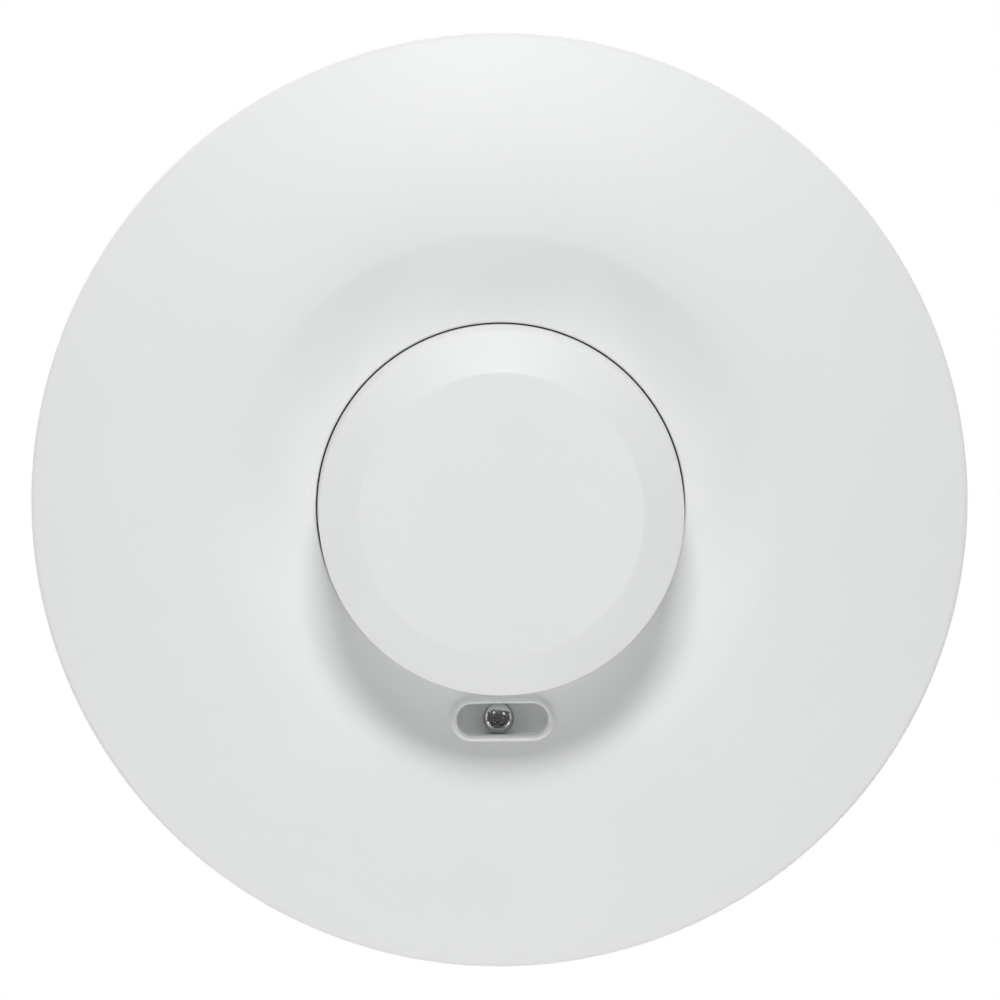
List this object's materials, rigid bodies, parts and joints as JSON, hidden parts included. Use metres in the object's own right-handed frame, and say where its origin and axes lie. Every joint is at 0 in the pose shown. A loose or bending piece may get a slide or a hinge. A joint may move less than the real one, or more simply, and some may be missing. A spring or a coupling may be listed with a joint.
{
  "type": "motion sensor",
  "caption": "Round surface-mount motion sensor: convex white cover with a screwed slot, pull-off conical cap, setting dials and radar electronics on a rear pan.",
  "frame": {"origin": "centre of the flat back of the base, on the wall or ceiling", "axes": "+Z out of the face, +Y towards the top of the sensor; the cover's screw slot is on the -Y side"},
  "size_m": [0.12, 0.12, 0.0346],
  "materials": {
    "white_housing": "fine matt moulded ABS/PC",
    "white_cap": "matt moulded radar-transparent cap",
    "base_plastic": "matt moulded base",
    "carrier_plastic": "natural white nylon",
    "black_plastic": "black moulded epoxy or nylon",
    "screw_steel": "zinc-nickel plated steel",
    "board_green": "solder-masked FR4",
    "grommet_rubber": "soft grey rubber",
    "terminal_plastic": "green terminal block nylon",
    "clamp_steel": "nickel plated",
    "relay_blue": "blue relay case",
    "film_yellow": "yellow film capacitor case",
    "can_black": "shrink sleeve on aluminium",
    "varistor_blue": "blue epoxy dip",
    "fuse_brown": "moulded fuse body",
    "ferrite": "ferrite drum with sleeve",
    "resistor_beige": "lacquered resistor",
    "pin_gold": "gold flashed pins",
    "trimmer_blue": "trimmer body",
    "dial_white": "trimmer rotor",
    "cell_ceramic": "light cell",
    "led_red": "tinted diffused epoxy",
    "chip_grey": "ceramic chip parts",
    "shield_tin": "tinned steel can",
    "copper": "gold plated copper patches"
  },
  "bodies": {
    "base": {"rear_base": "base_plastic", "cable_grommet": "grommet_rubber", "inner_carrier": "carrier_plastic", "power_board": "board_green", "sensor_board": "board_green", "carrier_screws": "screw_steel", "board_screws": "screw_steel", "sensor_board_screws": "screw_steel", "terminal_housing": "terminal_plastic", "terminal_clamps": "clamp_steel", "terminal_screws": "clamp_steel", "relay": "relay_blue", "film_capacitor": "film_yellow", "bridge_rectifier": "black_plastic", "voltage_regulator": "black_plastic", "electrolytic_capacitors": "can_black", "fuse": "fuse_brown", "varistor": "varistor_blue", "choke": "ferrite", "resistors": "resistor_beige", "link_header": "black_plastic", "link_pins": "pin_gold", "trimmer_bodies": "trimmer_blue", "light_cell": "cell_ceramic", "status_led": "led_red", "microcontroller": "black_plastic", "chip_parts": "chip_grey", "radar_board": "board_green", "radar_header": "black_plastic", "radar_pins": "pin_gold", "radar_shield": "shield_tin", "radar_antenna": "copper"},
    "cover": {"front_cover": "white_housing", "cover_screw": "screw_steel"},
    "cap": {"sensor_cap": "white_cap"},
    "sensitivity_dial": {"dial_sensitivity": "dial_white"},
    "time_dial": {"dial_time": "dial_white"},
    "light_dial": {"dial_light": "dial_white"}
  },
  "joints": [
    {"name": "cap_pull", "type": "slide", "parent": "base", "child": "cap", "axis": [0, 0, 1], "range_m": [0, 0.022]},
    {"name": "cover_lift", "type": "slide", "parent": "base", "child": "cover", "axis": [0, 0, 1], "range_m": [0, 0.03]},
    {"name": "sensitivity_turn", "type": "hinge", "parent": "base", "child": "sensitivity_dial", "pos_m": [-0.0115, -0.0085, 0.0277], "axis": [0, 0, 1], "range_deg": [-135, 135]},
    {"name": "time_turn", "type": "hinge", "parent": "base", "child": "time_dial", "pos_m": [0, -0.014, 0.0277], "axis": [0, 0, 1], "range_deg": [-135, 135]},
    {"name": "light_turn", "type": "hinge", "parent": "base", "child": "light_dial", "pos_m": [0.0115, -0.0085, 0.0277], "axis": [0, 0, 1], "range_deg": [-135, 135]}
  ]
}
